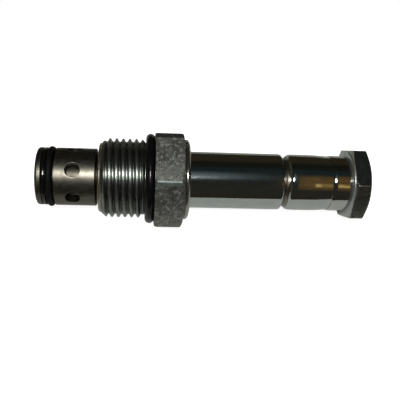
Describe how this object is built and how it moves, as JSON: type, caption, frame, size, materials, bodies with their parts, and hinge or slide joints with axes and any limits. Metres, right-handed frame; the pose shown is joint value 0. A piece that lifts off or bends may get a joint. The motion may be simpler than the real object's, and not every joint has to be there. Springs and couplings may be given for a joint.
{
  "type": "cartridge valve",
  "caption": "Screw-in solenoid poppet cartridge valve without its coil: ported cage, threaded hex adapter, guide tube and coil nut.",
  "frame": {"origin": "centre of the hex face that seats on the manifold, on the valve's axis", "axes": "+X along the valve's axis towards the coil end, the nose points to -X; +Z square to a flat of the hex"},
  "size_m": [0.0912, 0.0294, 0.0254],
  "materials": {
    "zinc_plate": "matte zinc plating, slightly mottled",
    "cage_steel": "satin turned steel",
    "nitrile": "smooth black rubber",
    "backup_plastic": "glossy black",
    "spring_steel": "drawn wire",
    "hardened_steel": "ground",
    "glide_ring": "waxy",
    "bronze": "turned",
    "brass": "rolled sheet",
    "armature_iron": "ground",
    "tube_steel": "polished stainless",
    "pole_steel": "turned, bright",
    "nut_steel": "glossy plated steel"
  },
  "bodies": {
    "valve": {"valve_body": "zinc_plate", "body_o_ring": "nitrile", "cage": "cage_steel", "nose_backup_ring": "backup_plastic", "nose_o_ring": "nitrile", "cage_o_ring": "nitrile", "cage_retaining_ring": "spring_steel", "pin_guide": "bronze", "poppet_spring": "spring_steel", "guide_tube": "tube_steel", "tube_o_ring": "nitrile", "pole_piece": "pole_steel", "pole_o_ring": "nitrile", "anti_residual_shim": "brass", "armature_spring": "spring_steel"},
    "poppet": {"main_poppet": "hardened_steel", "poppet_seal_ring": "glide_ring", "pilot_seat": "hardened_steel"},
    "armature": {"armature": "armature_iron", "pilot_pin": "hardened_steel", "cross_pin": "hardened_steel"},
    "nut_seal": {"nut_seal_ring": "nitrile"},
    "coil_nut": {"coil_nut": "nut_steel"}
  },
  "joints": [
    {"name": "armature_slide", "type": "slide", "parent": "valve", "child": "armature", "axis": [1, 0, 0], "range_m": [0, 0.002], "stiffness_N_per_m": 1000, "springref_m": -0.004, "deforming": ["armature_spring"]},
    {"name": "poppet_slide", "type": "slide", "parent": "valve", "child": "poppet", "axis": [1, 0, 0], "range_m": [0, 0.0016], "stiffness_N_per_m": 300, "springref_m": -0.003, "deforming": ["poppet_spring"]},
    {"name": "coil_nut_lift", "type": "slide", "parent": "valve", "child": "nut_seal", "axis": [1, 0, 0], "range_m": [0, 0.051]},
    {"name": "coil_nut_turn", "type": "hinge", "parent": "nut_seal", "child": "coil_nut", "pos_m": [0.0557, 0, 0], "axis": [1, 0, 0], "range_deg": [0, 14400]}
  ],
  "couplings": [
    {"joint": "poppet_slide", "follows": "armature_slide", "ratio": 0.8},
    {"joint": "coil_nut_lift", "follows": "coil_nut_turn", "m_per_rad": 0.00020213}
  ]
}
